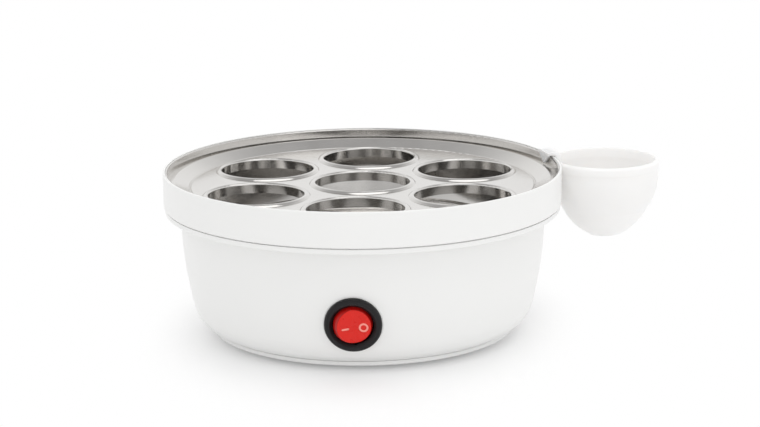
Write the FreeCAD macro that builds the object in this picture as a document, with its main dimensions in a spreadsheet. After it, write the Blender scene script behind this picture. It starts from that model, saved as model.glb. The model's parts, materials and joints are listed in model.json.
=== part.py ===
import FreeCAD, Part
import math
import os
import Sketcher

# Egg cooker for seven eggs: heated base, egg tray and hung measuring cup.
# Millimetres, +Z up. The origin is the centre of the foot ring on the surface that the cooker
# stands on. The switch faces -Y and the cord inlet faces +Y.

SIZES = {
    # Rim collar and the fits between shells.
    "collar_radius": 83.0,
    "collar_top": 69.5,
    "collar_height": 14.5,
    "collar_wall": 1.9,
    "rim_wall": 0.9,
    "collar_round": 0.5,
    "collar_chamfer": 0.4,
    "collar_inner_round": 0.2,
    "fit_gap": 0.2,
    # Casing: top flange with its shadow line, spigot, bowed wall and lower edge.
    "flange_inset": 0.6,
    "flange_thick": 2.6,
    "flange_reach": 6.4,
    "flange_round": 0.5,
    "shadow_line": 0.5,
    "shadow_depth": 0.9,
    "spigot_wall": 1.6,
    "spigot_rise": 2.0,
    "wall_thick": 2.2,
    "wall_draft": 4.8,
    "wall_bow": 165.0,
    "wall_low_height": 12.7,
    "corner_round": 13.0,
    "edge_inset": 7.6,
    "edge_land": 3.0,
    # Bowl with its liner and ledge, the seal and the shelf that carries them.
    "tray_drop": 6.9,
    "tray_thick": 0.8,
    "bowl_thick": 0.7,
    "seal_thick": 1.0,
    "shelf_thick": 2.2,
    "liner_gap": 0.1,
    "liner_drop": 0.3,
    "liner_round": 0.5,
    "bowl_floor": 37.1,
    "bowl_taper": 13.3,
    "bowl_round": 6.0,
    "seal_inset": 0.4,
    # Hook of the measuring cup.
    "hook_gap": 0.2,
    "hook_thick": 1.2,
    "hook_depth": 3.6,
    "hook_rise": 0.2,
    "hook_bar": 1.1,
    "hook_tip_width": 1.4,
    "hook_arc": 8.0,
    "hook_leg_sink": 1.3,
    # Egg tray and its seats.
    "tray_clear": 0.4,
    "tray_border": 7.1,
    "tray_border_rise": 2.8,
    "tray_hem": 1.1,
    "crease_width": 1.0,
    "crease_depth": 0.4,
    "egg_seat_border": 8.6,
    "egg_seat_web": 4.3,
    "egg_rim_width": 2.6,
    "egg_rim_rise": 0.9,
    "egg_lip_depth": 2.6,
    # Measuring cup and its needle.
    "cup_radius": 23.0,
    "cup_wall": 1.7,
    "cup_drop": 3.4,
    "cup_lip": 4.0,
    "cup_lip_step": 0.3,
    "cup_round": 1.2,
    "cup_inner_round": 0.4,
    "cup_depth": 33.0,
    "cup_waist_drop": 21.6,
    "cup_waist_inset": 5.0,
    "cup_upper_bow": 24.0,
    "cup_lower_bow": 24.0,
    "cup_base_radius": 6.5,
    "cup_gap": 0.3,
    "cup_reach": 1.7,
    "cup_azimuth": 18.3,
    "pocket_radius": 3.2,
    "pocket_depth": 5.0,
    "cup_floor": 1.6,
    "needle_radius": 0.6,
    "needle_head": 1.8,
    "needle_head_thick": 0.8,
    "needle_point": 2.0,
    "needle_recess": 0.6,
    # Foot ring and bottom cover.
    "foot_proud": 0.8,
    "foot_sunk": 0.9,
    "foot_inset": 9.8,
    "foot_width": 4.6,
    "groove_gap": 0.1,
    "cover_thick": 3.0,
    "cover_rim": 1.5,
    "cover_flat_inset": 6.2,
    "cover_rib_rise": 3.0,
    "cover_rib_wall": 2.0,
    "seam_gap": 0.2,
    # Heat plate and heating element.
    "plate_clear": 4.0,
    "plate_thick": 3.0,
    "tube_radius": 3.25,
    "element_inset": 14.0,
    "element_gap": 27.0,
    "element_clear": 1.5,
    "pin_radius": 1.5,
    "pin_length": 7.0,
    # Thermostat, its bracket and the plate screws.
    "thermostat_cap_radius": 8.0,
    "thermostat_cap_height": 4.0,
    "thermostat_radius": 6.6,
    "thermostat_height": 10.0,
    "thermostat_tab_spread": 4.0,
    "bracket_length": 36.0,
    "bracket_width": 17.0,
    "bracket_thick": 1.0,
    "bracket_screw_offset": 14.0,
    "plate_screw_radius": 1.5,
    "plate_screw_head": 2.8,
    "plate_screw_head_height": 1.8,
    "plate_screw_bite": 2.2,
    "screw_gap": 0.05,
    # Thermal fuse and its clip.
    "fuse_radius": 2.0,
    "fuse_length": 12.0,
    "clip_thick": 0.8,
    "clip_width": 6.0,
    "clip_foot": 9.0,
    # Bowl studs on their lugs, and the earth tab.
    "stud_inset": 4.0,
    "stud_radius": 2.0,
    "stud_tail": 1.5,
    "lug_height": 24.0,
    "lug_thick": 4.0,
    "lug_width": 14.0,
    "lug_reach": 6.5,
    "stud_clear": 0.25,
    "washer_radius": 4.6,
    "washer_thick": 0.8,
    "nut_flats": 7.0,
    "nut_height": 3.2,
    "earth_tab_length": 9.0,
    "tab_width": 4.8,
    "tab_thick": 0.8,
    "tab_length": 8.0,
    # Cover screws, their posts and wells.
    "screw_ring_inset": 7.1,
    "screw_radius": 1.4,
    "screw_length": 12.0,
    "screw_head": 2.9,
    "screw_head_height": 1.8,
    "screw_pocket_gap": 0.5,
    "screw_post_radius": 3.8,
    "screw_post_top": 20.0,
    "post_web": 3.0,
    "well_radius": 5.0,
    "well_rise": 3.2,
    "well_roof": 1.6,
    # Rocker switch and its flat seat in the wall.
    "switch_height": 21.9,
    "switch_roll": 6.0,
    "port_depth": 14.0,
    "seat_sink": 0.5,
    "seat_margin": 0.5,
    "bezel_radius": 11.5,
    "bezel_thick": 2.2,
    "bezel_round": 1.4,
    "bezel_slope": 1.1,
    "barrel_radius": 9.9,
    "barrel_depth": 14.0,
    "cavity_depth": 9.0,
    "wing_reach": 0.8,
    "wing_width": 6.0,
    "wing_length": 5.0,
    # Rocker, its trunnions and plunger.
    "rocker_ball": 8.0,
    "rocker_gap": 0.2,
    "rocker_rise": 2.0,
    "rocker_skirt": 2.5,
    "rocker_angle": 10.0,
    "pivot_lift": 0.2,
    "trunnion_radius": 1.2,
    "trunnion_reach": 0.5,
    "running_gap": 0.05,
    "plunger_radius": 1.2,
    "plunger_gap": 0.5,
    # Contact blade.
    "blade_drop": 7.0,
    "blade_length": 12.0,
    "blade_width": 4.0,
    "blade_thick": 0.6,
    "blade_bead": 0.7,
    "blade_angle": 6.0,
    "blade_gap": 0.1,
    "contact_offset": 5.0,
    # Cord inlet.
    "inlet_height": 18.0,
    "inlet_bore": 3.2,
    "grommet_wall": 1.7,
    "grommet_flange": 2.0,
    "grommet_flange_thick": 1.6,
    # Terminal block.
    "block_length": 26.0,
    "block_width": 12.0,
    "block_height": 10.0,
    "block_offset": 33.0,
    "pole_spacing": 8.5,
    "pole_radius": 1.6,
    "pole_rise": 4.0,
    "clamp_radius": 1.4,
    "peg_radius": 1.2,
    "peg_height": 7.0,
    # Wiring.
    "wire_radius": 1.1,
    "wire_standoff": 4.5,
    "wire_layer": 3.0,
    "wire_side": 16.0,
}

# Sizes that follow from the driving sizes above.
DERIVED = {
    "seam_height": "collar_top - collar_height",
    "collar_inside": "collar_radius - collar_wall",
    "flange_radius": "collar_radius - flange_inset",
    "flange_under": "seam_height - flange_thick",
    "spigot_outside": "collar_inside - fit_gap",
    "spigot_inside": "spigot_outside - spigot_wall",
    "spigot_top": "seam_height + spigot_rise",
    "wall_top_radius": "flange_radius - flange_reach",
    "wall_low_radius": "wall_top_radius - wall_draft",
    "edge_radius": "wall_low_radius - edge_inset",
    "wall_top_inside": "wall_top_radius - wall_thick",
    "wall_low_inside": "wall_low_radius - wall_thick",
    "edge_inside": "edge_radius - edge_land",
    "bow_inside": "wall_bow - wall_thick",
    "corner_inside": "corner_round - wall_thick",
    "tray_top": "collar_top - tray_drop",
    "tray_under": "tray_top - tray_thick",
    "tray_edge_top": "tray_top + tray_border_rise",
    "ledge_top": "tray_edge_top - tray_thick",
    "ledge_under": "ledge_top - bowl_thick",
    "shelf_top": "ledge_under - seal_thick",
    "shelf_under": "shelf_top - shelf_thick",
    "shelf_inside": "bowl_mouth_outside + fit_gap",
    "rim_inside": "collar_radius - rim_wall",
    "liner_outside": "rim_inside - liner_gap",
    "liner_inside": "liner_outside - bowl_thick",
    "liner_top": "collar_top - liner_drop",
    "liner_crest": "liner_inside + liner_round",
    "liner_shoulder": "liner_top - liner_round",
    "bowl_under": "bowl_floor - bowl_thick",
    "bowl_mouth": "hem_inside + fit_gap",
    "bowl_mouth_outside": "bowl_mouth + bowl_thick",
    "bowl_low_outside": "bowl_mouth_outside - bowl_taper",
    "bowl_low": "bowl_low_outside - bowl_thick",
    "bowl_round_inside": "bowl_round - bowl_thick",
    "bowl_flat": "bowl_low_outside - bowl_round",
    "bowl_bend": "bowl_under + bowl_round",
    "seal_inside": "shelf_inside + seal_inset",
    "seal_outside": "liner_outside - seal_inset",
    "hook_outer": "liner_inside - hook_gap",
    "hook_inner": "hook_outer - hook_thick",
    "hook_tip": "collar_top - hook_depth",
    "hook_under": "collar_top + hook_rise",
    "hook_top": "hook_under + hook_bar",
    "hook_half_width": "hook_outer * sin(hook_arc * 0.5deg)",
    "hook_side_length": "sqrt((hook_half_width - hook_tip_width / 2) ^ 2 + (hook_under - hook_tip) ^ 2)",
    "tray_radius": "hook_inner - tray_clear",
    "hem_inside": "tray_radius - tray_hem",
    "crease_outside": "tray_radius - tray_border",
    "crease_inside": "crease_outside - crease_width",
    "crease_round": "(crease_width ^ 2 / 4 + crease_depth ^ 2) / (2 * crease_depth)",
    "egg_ring_radius": "(2 * (tray_radius - egg_seat_border) + egg_seat_web) / 3",
    "egg_rim_radius": "(egg_ring_radius - egg_seat_web) / 2",
    "egg_hole_radius": "egg_rim_radius - egg_rim_width",
    "egg_lip_radius": "egg_hole_radius + tray_thick",
    "egg_rim_slope": "egg_rim_radius - egg_lip_radius",
    "egg_rim_bow": "(egg_rim_slope ^ 2 + egg_rim_rise ^ 2) / (2 * egg_rim_rise)",
    "egg_rim_top": "tray_top + egg_rim_rise",
    "egg_rim_foot": "egg_rim_top - tray_thick",
    "egg_lip_under": "tray_under - egg_lip_depth",
    "cup_distance": "collar_radius + cup_reach + cup_radius",
    "cup_top": "collar_top - cup_drop",
    "cup_inside": "cup_radius - cup_wall",
    "cup_shoulder": "cup_top - cup_round",
    "cup_crest": "cup_radius - cup_round",
    "cup_mouth": "cup_inside + cup_inner_round",
    "cup_mouth_foot": "cup_top - cup_inner_round",
    "cup_lip_under": "cup_top - cup_lip",
    "cup_skirt": "cup_radius - cup_lip_step",
    "cup_skirt_inside": "cup_skirt - cup_wall",
    "cup_waist": "cup_radius - cup_waist_inset",
    "cup_waist_inside": "cup_waist - cup_wall",
    "cup_waist_height": "cup_top - cup_waist_drop",
    "cup_base": "cup_top - cup_depth",
    "cup_floor_height": "cup_base + cup_floor",
    "cup_upper_inside": "cup_upper_bow - cup_wall",
    "cup_lower_inside": "cup_lower_bow - cup_wall",
    "pocket_top": "cup_base + pocket_depth",
    "boss_radius": "pocket_radius + cup_wall",
    "boss_top": "pocket_top + cup_floor",
    "hook_leg_inside": "collar_radius + cup_gap",
    "hook_leg_outside": "collar_radius + cup_reach + hook_leg_sink",
    "needle_tip": "cup_base + needle_recess",
    "needle_shoulder": "needle_tip + needle_point",
    "needle_head_under": "pocket_top - needle_head_thick",
    "foot_top": "foot_proud + foot_sunk",
    "cover_top": "foot_proud + cover_thick",
    "casing_edge": "cover_top + seam_gap",
    "cover_edge": "edge_radius - fit_gap",
    "cover_rim_under": "cover_top - cover_rim",
    "cover_flat": "edge_radius - cover_flat_inset",
    "foot_outside": "cover_flat - foot_inset",
    "foot_inside": "foot_outside - foot_width",
    "groove_inside": "foot_inside - groove_gap",
    "groove_outside": "foot_outside + groove_gap",
    "rib_outside": "edge_inside - fit_gap",
    "rib_inside": "rib_outside - cover_rib_wall",
    "rib_top": "cover_top + cover_rib_rise",
    "stud_offset": "bowl_flat - stud_inset",
    "plate_radius": "stud_offset - stud_radius - plate_clear",
    "plate_under": "bowl_under - plate_thick",
    "element_radius": "plate_radius - element_inset",
    "element_height": "plate_under - tube_radius",
    "element_gap_angle": "2 * asin(element_gap / (2 * element_radius)) / 1deg",
    "element_sweep": "360 - element_gap_angle",
    "cap_under": "plate_under - thermostat_cap_height",
    "thermostat_under": "plate_under - thermostat_height",
    "thermostat_tab_under": "thermostat_under - tab_length",
    "bracket_under": "cap_under - bracket_thick",
    "bracket_hole": "thermostat_radius + fit_gap",
    "plate_screw_hole": "plate_screw_radius + screw_gap",
    "fuse_height": "plate_under - fuse_radius - clip_thick / 2",
    "clip_inside": "fuse_radius + screw_gap",
    "clip_outside": "clip_inside + clip_thick",
    "clip_foot_under": "plate_under - clip_thick",
    "stud_hole": "stud_radius + stud_clear",
    "lug_under": "lug_height - lug_thick",
    "lug_inside": "stud_offset - lug_reach",
    "washer_under": "lug_under - washer_thick",
    "earth_under": "washer_under - tab_thick",
    "stud_end": "earth_under - nut_height - stud_tail",
    "stud_length": "bowl_under - stud_end",
    "well_top": "cover_top + well_rise",
    "screw_head_top": "well_top - well_roof",
    "screw_ring_radius": "edge_inside - screw_ring_inset",
    "screw_hole": "screw_radius + screw_gap",
    "screw_way": "screw_radius + fit_gap",
    "screw_pocket": "screw_head + screw_pocket_gap",
    "screw_post_height": "screw_post_top - well_top",
    "seat_radius": "bezel_radius + seat_margin",
    "opening_radius": "rocker_ball + rocker_gap",
    "bezel_mouth": "opening_radius + bezel_slope",
    "bezel_flat": "bezel_radius - bezel_round",
    "panel_hole": "barrel_radius + fit_gap",
    "trunnion_hole": "trunnion_radius + running_gap",
    "trunnion_span": "opening_radius + trunnion_reach",
    "grommet_neck": "inlet_bore + grommet_wall",
    "inlet_hole": "grommet_neck + fit_gap",
    "grommet_radius": "grommet_neck + grommet_flange",
    "inlet_seat": "grommet_radius + seat_margin",
    "block_top": "cover_top + block_height",
    "collar_foot": "collar_radius - collar_chamfer",
    "collar_chamfer_top": "seam_height + collar_chamfer",
    "collar_shoulder": "collar_top - collar_round",
    "collar_crest": "collar_radius - collar_round",
    "collar_inner_shoulder": "collar_top - collar_inner_round",
    "collar_inner_crest": "rim_inside + collar_inner_round",
    "flange_low_edge": "flange_radius - flange_round",
    "flange_shoulder": "flange_under + flange_round",
    "shadow_under": "seam_height - shadow_line",
    "shadow_radius": "flange_radius - shadow_depth",
    "clip_root": "element_radius - tube_radius - element_clear - clip_foot",
    "clip_screw_offset": "clip_root + clip_foot - plate_screw_head",
    "fuse_offset": "clip_root - clip_inside + clip_thick",
    "nut_bore_radius": "stud_radius + screw_gap",
    "pole_height": "cover_top + pole_rise",
    "clamp_foot": "pole_height + wire_radius + screw_gap",
    "clamp_length": "block_top - clamp_foot",
    "clamp_hole_radius": "clamp_radius + screw_gap",
    "peg_hole_radius": "peg_radius + fit_gap",
    "grommet_back_face": "grommet_flange_thick",
    "grommet_seat": "grommet_back_face + wall_thick",
    "grommet_front": "grommet_seat + grommet_flange_thick",
    "grommet_front_edge": "grommet_front - grommet_flange_thick / 2",
    "grommet_front_crest": "grommet_radius - grommet_flange_thick / 2",
    "bezel_top": "barrel_depth + bezel_thick",
    "bezel_shoulder": "bezel_top - bezel_round",
    "mouth_height": "bezel_top - bezel_slope",
    "cavity_floor": "barrel_depth - cavity_depth",
    "wing_foot": "barrel_depth - wall_thick - wing_length - fit_gap",
    "wing_root": "barrel_radius - wing_reach",
    "trunnion_hole_length": "2 * (trunnion_span + fit_gap)",
    "blade_height": "barrel_depth - blade_drop",
    "cradle_top": "blade_height - blade_bead - blade_gap",
    "contact_swing": "(contact_offset + tab_thick / 2) * sin(blade_angle * 1deg)",
    "contact_top": "blade_height - blade_thick / 2 - blade_gap - contact_swing",
    "plunger_reach": "blade_drop + pivot_lift - blade_bead - plunger_gap",
    "plunger_length": "plunger_reach - rocker_skirt",
}

# Places round the axis, in degrees from +X, and the poles of the terminal block from left to right.
SWITCH_AZIMUTH = -90
INLET_AZIMUTH = 90
SCREW_AZIMUTHS = (45, 135, 225, 315)
STUD_AZIMUTHS = (0, 180)
EARTH_AZIMUTH = 0
SEAT_AZIMUTHS = range(-90, 270, 60)
POLES = (-1, 0, 1)

# Share of a wire's run that each of its corners may round.
WIRE_TRIM = 0.45

doc = FreeCAD.newDocument("egg_cooker")
dims = doc.addObject("Spreadsheet::Sheet", "dims")
PIECES = []


def fill_sheet():
    """Give every size a named cell, then its number or formula."""
    cells = {name: str(value) for name, value in SIZES.items()}
    cells.update({name: "=" + formula for name, formula in DERIVED.items()})
    for row, name in enumerate(cells, start=1):
        dims.set("A%d" % row, name)
        dims.setAlias("B%d" % row, name)
    for row, text in enumerate(cells.values(), start=1):
        dims.set("B%d" % row, text)
    doc.recompute()


def size(name):
    return float(dims.get(name))


def vec(x, y, z):
    return FreeCAD.Vector(x, y, z)


def place(x=0.0, y=0.0, z=0.0, rotation=None):
    return FreeCAD.Placement(vec(x, y, z), rotation or FreeCAD.Rotation())


def turn_z(angle):
    return FreeCAD.Rotation(vec(0, 0, 1), angle)


def polar(radius, azimuth, height=0.0):
    """A place at a radius and azimuth whose own X axis points outwards."""
    turned_to = math.radians(azimuth)
    return place(radius * math.cos(turned_to), radius * math.sin(turned_to), height, turn_z(azimuth))


def add(kind, label, **bound):
    """Add a document object whose properties are bound to named sizes."""
    piece = doc.addObject(kind, label)
    for key, name in bound.items():
        piece.setExpression(key, "dims." + name if name in SIZES or name in DERIVED else name)
    return piece


def cylinder(label, radius, height, where):
    piece = add("Part::Cylinder", label, Radius=radius, Height=height)
    piece.Placement = where
    return piece


def box(label, length, width, height, where, lead=0.5):
    """A box on its lower face, centred across, with a share of its length behind its place."""
    piece = add("Part::Box", label, Length=length, Width=width, Height=height)
    doc.recompute()
    piece.Placement = where.multiply(place(-lead * piece.Length.Value, -piece.Width.Value / 2, 0))
    return piece


def bar(label, length, width, height, where):
    """A box that reaches from its place along its own X axis."""
    return box(label, length, width, height, where, lead=0.0)


def fuse(label, pieces):
    whole = doc.addObject("Part::MultiFuse", label)
    whole.Shapes = pieces
    whole.Refine = True
    return whole


def cut(label, base, tools):
    whole = doc.addObject("Part::Cut", label)
    whole.Base = base
    whole.Tool = tools[0] if len(tools) == 1 else fuse(label + "_tools", tools)
    whole.Refine = True
    return whole


def common(label, first, second):
    whole = doc.addObject("Part::Common", label)
    whole.Base = first
    whole.Tool = second
    return whole


def group(label, pieces):
    """Identical loose pieces that share one node."""
    whole = doc.addObject("Part::Compound", label)
    whole.Links = pieces
    return whole


def keep(piece, label):
    """List a finished piece under its own name."""
    piece.Label = label
    PIECES.append(piece)
    return piece


def arc_between(start, end, radius, side):
    """The short arc from start to end, with its centre on the left (1) or right (-1)."""
    chord = end - start
    middle = (start + end) * 0.5
    left = vec(-chord.y, chord.x, 0).normalize()
    reach = math.sqrt(radius * radius - (chord.Length / 2) ** 2)
    centre = middle + left * (side * reach)
    angles = [math.atan2(p.y - centre.y, p.x - centre.x) for p in (start, end)]
    circle = Part.Circle(centre, vec(0, 0, 1), radius)
    return Part.ArcOfCircle(circle, *(angles if side > 0 else angles[::-1]))


def draw_outline(sketch, outline):
    """Draw a closed outline of named points and bind every point and arc to its size.

    A point is (across, up) or (across, up, arc radius, side of the arc's centre); None is the axis.
    """
    spots = [vec(size(p[0]) if p[0] else 0, size(p[1]) if p[1] else 0, 0) for p in outline]
    ends = []
    for index, point in enumerate(outline):
        start, end = spots[index], spots[(index + 1) % len(spots)]
        if len(point) == 2:
            sketch.addGeometry(Part.LineSegment(start, end))
            ends.append((1, 2))
        else:
            sketch.addGeometry(arc_between(start, end, size(point[2]), point[3]))
            ends.append((1, 2) if point[3] > 0 else (2, 1))
            mark = sketch.addConstraint(Sketcher.Constraint("Radius", index, size(point[2])))
            sketch.setExpression("Constraints[%d]" % mark, "dims." + point[2])
    for index, point in enumerate(outline):
        after = (index + 1) % len(outline)
        joint = ("Coincident", index, ends[index][1], after, ends[after][0])
        sketch.addConstraint(Sketcher.Constraint(*joint))
        for kind, name, axis in (("DistanceX", point[0], -2), ("DistanceY", point[1], -1)):
            if name is None:
                rule = ("PointOnObject", index, ends[index][0], axis)
                sketch.addConstraint(Sketcher.Constraint(*rule))
            else:
                rule = (kind, -1, 1, index, ends[index][0], size(name))
                mark = sketch.addConstraint(Sketcher.Constraint(*rule))
                sketch.setExpression("Constraints[%d]" % mark, "dims." + name)


def turned(label, outline, angle=None):
    """A piece of revolution about Z, whole or over a named angle about +X."""
    body = doc.addObject("PartDesign::Body", label)
    planes = {feature.Role: feature for feature in body.Origin.OriginFeatures}
    sketch = body.newObject("Sketcher::SketchObject", label + "_outline")
    sketch.AttachmentSupport = (planes["XZ_Plane"], [""])
    sketch.MapMode = "FlatFace"
    draw_outline(sketch, outline)
    turn = body.newObject("PartDesign::Revolution", label + "_turn")
    turn.Profile = sketch
    turn.ReferenceAxis = (sketch, ["V_Axis"])
    turn.Angle = 360.0
    if angle:
        turn.Midplane = True
        turn.setExpression("Angle", "dims." + angle)
    body.Tip = turn
    doc.recompute()
    return body


def ring_outline(inside, outside, low, high):
    return [(inside, low), (outside, low), (outside, high), (inside, high)]


def wall_at(height):
    """Radius of the casing's outer wall at a height, and how far its face leans down in degrees."""
    low = vec(size("wall_low_radius"), size("wall_low_height"), 0)
    high = vec(size("wall_top_radius"), size("flange_under"), 0)
    bow = size("wall_bow")
    chord = high - low
    left = vec(-chord.y, chord.x, 0).normalize()
    centre = (low + high) * 0.5 + left * math.sqrt(bow * bow - (chord.Length / 2) ** 2)
    lean = math.asin((centre.y - height) / bow)
    return centre.x + bow * math.cos(lean), math.degrees(lean)


def wall_port(azimuth, height):
    """A flat seat sunk into the casing's wall; its own Z axis points out of the wall, Y up."""
    radius, lean = wall_at(height)
    facing = turn_z(azimuth + 90).multiply(FreeCAD.Rotation(vec(1, 0, 0), 90 + lean))
    outward = facing.multVec(vec(0, 0, 1))
    return FreeCAD.Placement(polar(radius, azimuth, height).Base - outward * size("seat_sink"), facing)


def port_cuts(label, port, seat, hole):
    """The pad that carries a wall port, and the cuts that make its two flat faces and its hole."""
    inner_face = port.multiply(place(z=-size("wall_thick")))
    pad = cylinder(label + "_pad", seat, "wall_thick", inner_face)
    outer = cylinder(label + "_spot_face", seat, "port_depth", port)
    inner = cylinder(label + "_back_face", seat, "port_depth",
                     inner_face.multiply(place(z=-size("port_depth"))))
    through = cylinder(label + "_hole", hole, "port_depth",
                       port.multiply(place(z=-size("port_depth") / 2)))
    return pad, [outer, inner, through]


def make_casing(switch_port, inlet_port):
    """The lower casing: bowed shell with its top flange, screw posts, stud lugs and two wall ports."""
    shell = turned("casing_shell", [
        ("edge_radius", "casing_edge", "corner_round", 1),
        ("wall_low_radius", "wall_low_height", "wall_bow", 1),
        ("wall_top_radius", "flange_under"),
        ("flange_low_edge", "flange_under", "flange_round", 1),
        ("flange_radius", "flange_shoulder"),
        ("flange_radius", "shadow_under"),
        ("shadow_radius", "shadow_under"),
        ("shadow_radius", "seam_height"),
        ("spigot_outside", "seam_height"),
        ("spigot_outside", "spigot_top"),
        ("spigot_inside", "spigot_top"),
        ("spigot_inside", "seam_height"),
        ("wall_top_inside", "seam_height"),
        ("wall_top_inside", "flange_under", "bow_inside", -1),
        ("wall_low_inside", "wall_low_height", "corner_inside", -1),
        ("edge_inside", "casing_edge"),
    ])
    envelope = turned("casing_envelope", [
        (None, "casing_edge"),
        ("edge_radius", "casing_edge", "corner_round", 1),
        ("wall_low_radius", "wall_low_height", "wall_bow", 1),
        ("wall_top_radius", "flange_under"),
        (None, "flange_under"),
    ])
    inner_forms, holes = [], []
    for azimuth in SCREW_AZIMUTHS:
        foot = polar(size("screw_ring_radius"), azimuth, size("well_top"))
        inner_forms.append(cylinder("post", "screw_post_radius", "screw_post_height", foot))
        inner_forms.append(bar("post_web", "dims.flange_radius - dims.screw_ring_radius", "post_web",
                               "screw_post_height", foot))
        holes.append(cylinder("post_hole", "screw_hole", "screw_length", foot))
    for azimuth in STUD_AZIMUTHS:
        root = polar(size("lug_inside"), azimuth, size("lug_under"))
        inner_forms.append(bar("lug", "dims.flange_radius - dims.lug_inside", "lug_width", "lug_thick",
                               root))
        hole_foot = polar(size("stud_offset"), azimuth, size("lug_under"))
        holes.append(cylinder("lug_hole", "stud_hole", "lug_thick", hole_foot))
    inside = common("casing_inner_forms", envelope, fuse("casing_ribs", inner_forms))
    switch_pad, switch_cuts = port_cuts("switch_port", switch_port, "seat_radius", "panel_hole")
    inlet_pad, inlet_cuts = port_cuts("inlet_port", inlet_port, "inlet_seat", "inlet_hole")
    whole = fuse("casing_whole", [shell, inside, switch_pad, inlet_pad])
    keep(cut("casing_cut", whole, holes + switch_cuts + inlet_cuts), "casing")


def make_rim_and_bowl():
    """The rim collar with its inner shelf, the seal on the shelf and the steel bowl that hangs on it."""
    keep(turned("collar_body", [
        ("collar_inside", "seam_height"),
        ("collar_foot", "seam_height"),
        ("collar_radius", "collar_chamfer_top"),
        ("collar_radius", "collar_shoulder", "collar_round", 1),
        ("collar_crest", "collar_top"),
        ("collar_inner_crest", "collar_top", "collar_inner_round", 1),
        ("rim_inside", "collar_inner_shoulder"),
        ("rim_inside", "shelf_top"),
        ("shelf_inside", "shelf_top"),
        ("shelf_inside", "shelf_under"),
        ("collar_inside", "shelf_under"),
    ]), "rim_collar")
    keep(turned("seal_body", ring_outline("seal_inside", "seal_outside", "shelf_top", "ledge_under")),
         "bowl_seal")
    keep(turned("bowl_body", [
        (None, "bowl_under"),
        ("bowl_flat", "bowl_under", "bowl_round", 1),
        ("bowl_low_outside", "bowl_bend"),
        ("bowl_mouth_outside", "ledge_under"),
        ("liner_outside", "ledge_under"),
        ("liner_outside", "liner_top"),
        ("liner_crest", "liner_top", "liner_round", 1),
        ("liner_inside", "liner_shoulder"),
        ("liner_inside", "ledge_top"),
        ("bowl_mouth", "ledge_top"),
        ("bowl_low", "bowl_bend", "bowl_round_inside", -1),
        ("bowl_flat", "bowl_floor"),
        (None, "bowl_floor"),
    ]), "heating_bowl")


def make_egg_tray():
    """The pressed steel tray: a flat with a sloping border, a hem and a lip round each egg seat."""
    disc = turned("tray_disc", [
        (None, "tray_under"),
        ("crease_outside", "tray_under"),
        ("hem_inside", "ledge_top"),
        ("tray_radius", "ledge_top"),
        ("tray_radius", "tray_edge_top"),
        ("hem_inside", "tray_edge_top"),
        ("crease_outside", "tray_top", "crease_round", -1),
        ("crease_inside", "tray_top"),
        (None, "tray_top"),
    ])
    seats = [place()] + [polar(size("egg_ring_radius"), azimuth) for azimuth in SEAT_AZIMUTHS]
    lips, holes = [], []
    for seat in seats:
        lip = turned("egg_lip", [
            ("egg_hole_radius", "egg_lip_under"),
            ("egg_lip_radius", "egg_lip_under"),
            ("egg_lip_radius", "tray_under"),
            ("egg_rim_radius", "tray_under"),
            ("egg_rim_radius", "tray_top", "egg_rim_bow", 1),
            ("egg_lip_radius", "egg_rim_top", "tray_thick", 1),
            ("egg_hole_radius", "egg_rim_foot"),
        ])
        lip.Placement = seat
        lips.append(lip)
        holes.append(cylinder("egg_hole", "egg_lip_radius", "collar_top", seat))
    keep(fuse("tray_whole", [cut("tray_holed", disc, holes)] + lips), "egg_tray")


def hook_taper(hung, side):
    """The cut that narrows one side of the hook's inner tongue towards its tip."""
    half_tip = size("hook_tip_width") / 2
    half_top = size("hook_half_width")
    lean = math.degrees(math.atan2(half_top - half_tip, size("hook_under") - size("hook_tip")))
    tip = place(size("hook_outer"), side * half_tip, size("hook_tip"),
                FreeCAD.Rotation(vec(1, 0, 0), -side * lean))
    outside = tip.multiply(place(y=side * half_top, z=-size("hook_side_length")))
    return box("hook_side", "4 * dims.hook_thick", "2 * dims.hook_half_width",
               "2 * dims.hook_side_length", hung.multiply(outside), lead=0.75)


def make_measuring_cup():
    """The cup with its rim band and needle pocket, hung by a hook over the collar, and its needle."""
    cup = turned("cup_body", [
        (None, "pocket_top"),
        ("pocket_radius", "pocket_top"),
        ("pocket_radius", "cup_base"),
        ("cup_base_radius", "cup_base", "cup_lower_bow", 1),
        ("cup_waist", "cup_waist_height", "cup_upper_bow", 1),
        ("cup_skirt", "cup_lip_under"),
        ("cup_radius", "cup_lip_under"),
        ("cup_radius", "cup_shoulder", "cup_round", 1),
        ("cup_crest", "cup_top"),
        ("cup_mouth", "cup_top", "cup_inner_round", 1),
        ("cup_inside", "cup_mouth_foot"),
        ("cup_skirt_inside", "cup_lip_under", "cup_upper_inside", -1),
        ("cup_waist_inside", "cup_waist_height", "cup_lower_inside", -1),
        ("cup_base_radius", "cup_floor_height"),
        ("boss_radius", "cup_floor_height"),
        ("boss_radius", "boss_top"),
        (None, "boss_top"),
    ])
    cup.Placement = polar(size("cup_distance"), size("cup_azimuth"))
    hook = turned("cup_hook", [
        ("hook_inner", "hook_tip"),
        ("hook_outer", "hook_tip"),
        ("hook_outer", "hook_under"),
        ("hook_leg_inside", "hook_under"),
        ("hook_leg_inside", "cup_lip_under"),
        ("hook_leg_outside", "cup_lip_under"),
        ("hook_leg_outside", "hook_top"),
        ("hook_inner", "hook_top"),
    ], "hook_arc")
    hung = place(rotation=turn_z(size("cup_azimuth")))
    hook.Placement = hung
    tapers = [hook_taper(hung, side) for side in (-1, 1)]
    keep(fuse("cup_whole", [cup, cut("hook_tapered", hook, tapers)]), "measuring_cup")
    needle = turned("needle_body", [
        (None, "needle_tip"),
        ("needle_radius", "needle_shoulder"),
        ("needle_radius", "needle_head_under"),
        ("needle_head", "needle_head_under"),
        ("needle_head", "pocket_top"),
        (None, "pocket_top"),
    ])
    needle.Placement = polar(size("cup_distance"), size("cup_azimuth"))
    keep(needle, "pricker_needle")


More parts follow.
